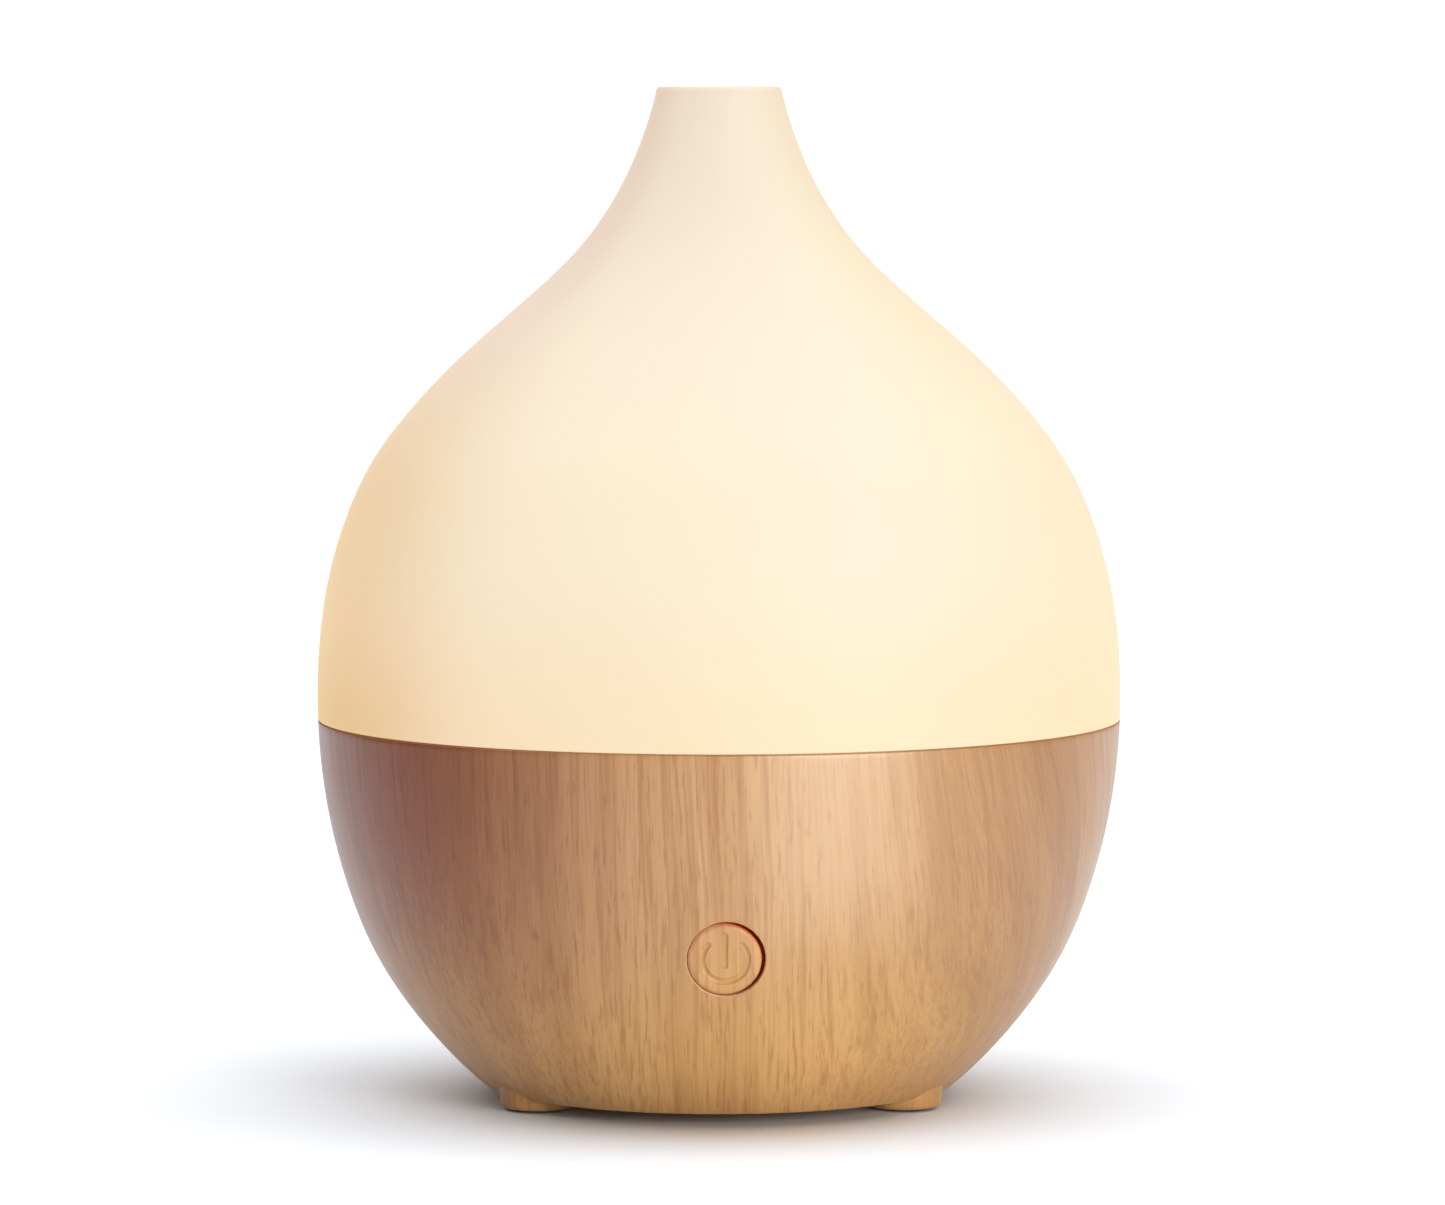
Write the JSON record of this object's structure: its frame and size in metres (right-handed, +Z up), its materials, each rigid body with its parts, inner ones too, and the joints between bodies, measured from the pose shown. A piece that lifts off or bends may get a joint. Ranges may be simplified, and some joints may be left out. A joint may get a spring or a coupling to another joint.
{
  "type": "cool mist humidifier",
  "caption": "Onion-shaped ultrasonic cool mist humidifier: frosted lift-off cover with an open nozzle over a wood-finish bowl with a power button, tank, mist disc, fan and boards inside.",
  "frame": {"origin": "on the table under the body's axis, midway between the feet", "axes": "+Z up through the nozzle; -Y the front with the power button; +Y the back with the power socket; +X the right side seen from the front"},
  "size_m": [0.13, 0.13, 0.1634],
  "materials": {
    "frosted_cover": "frosted translucent cover, lit warm from inside",
    "clear_plastic": "clear smooth moulding",
    "tank_plastic": "milky white moulding",
    "oak_finish": "light oak wood-grain finish, satin",
    "dark_plastic": "black moulding",
    "rubber": "matte black rubber",
    "silicone": "grey-white silicone",
    "piezo_ceramic": "silvered ceramic disc",
    "circuit_board": "green solder mask",
    "led_white": "LED lens over a warm phosphor",
    "black_epoxy": "black moulded package",
    "capacitor_sleeve": "dark blue sleeve",
    "ferrite": "dark grey ferrite",
    "steel": "plain steel",
    "aluminium": "bare aluminium",
    "brass": "sintered bronze sleeve",
    "copper_winding": "enamelled copper winding",
    "red_wire": "red insulation",
    "black_wire": "black insulation",
    "white_wire": "white insulation"
  },
  "bodies": {
    "base": {"base_shell": "oak_finish", "bottom_cover": "dark_plastic", "foot_pad_1": "rubber", "foot_pad_2": "rubber", "foot_pad_3": "rubber", "tank_screw_1": "steel", "tank_screw_2": "steel", "tank_screw_3": "steel", "bottom_screw_1": "steel", "bottom_screw_2": "steel", "bottom_screw_3": "steel", "water_tank": "tank_plastic", "tank_seal": "silicone", "duct_cap": "tank_plastic", "transducer_disc": "piezo_ceramic", "transducer_seal": "silicone", "transducer_clamp": "steel", "clamp_screw_1": "steel", "clamp_screw_2": "steel", "clamp_screw_3": "steel", "led_board": "circuit_board", "led_1": "led_white", "led_2": "led_white", "led_3": "led_white", "led_4": "led_white", "led_5": "led_white", "led_6": "led_white", "fan_frame": "dark_plastic", "fan_bearing": "brass", "fan_coil": "copper_winding", "fan_screw_1": "steel", "fan_screw_2": "steel", "air_duct": "dark_plastic", "control_board": "circuit_board", "board_screw_1": "steel", "board_screw_2": "steel", "heat_sink": "aluminium", "power_transistor": "black_epoxy", "controller_chip": "black_epoxy", "drive_coil": "ferrite", "capacitor_1": "capacitor_sleeve", "capacitor_2": "capacitor_sleeve", "tact_switch": "black_epoxy", "switch_board": "circuit_board", "switch_board_screw_1": "steel", "switch_board_screw_2": "steel", "dc_jack": "black_epoxy", "transducer_lead": "red_wire", "fan_lead": "black_wire", "led_lead": "white_wire", "switch_lead": "white_wire", "power_lead": "black_wire"},
    "cover": {"mist_cover": "frosted_cover", "mist_guide": "clear_plastic"},
    "button": {"button_cap": "oak_finish", "switch_plunger": "dark_plastic"},
    "fan_rotor": {"fan_impeller": "dark_plastic", "fan_shaft": "steel", "fan_magnet": "ferrite"}
  },
  "joints": [
    {"name": "cover_lift", "type": "slide", "parent": "base", "child": "cover", "axis": [0, 0, 1], "range_m": [0, 0.1]},
    {"name": "button_press", "type": "slide", "parent": "base", "child": "button", "axis": [0, 1, 0], "range_m": [0, 0.0005], "stiffness_N_per_m": 2000, "springref_m": -0.0003},
    {"name": "fan_spin", "type": "hinge", "parent": "base", "child": "fan_rotor", "pos_m": [0, 0, 0.0105], "axis": [0, 0, 1], "continuous": true}
  ]
}
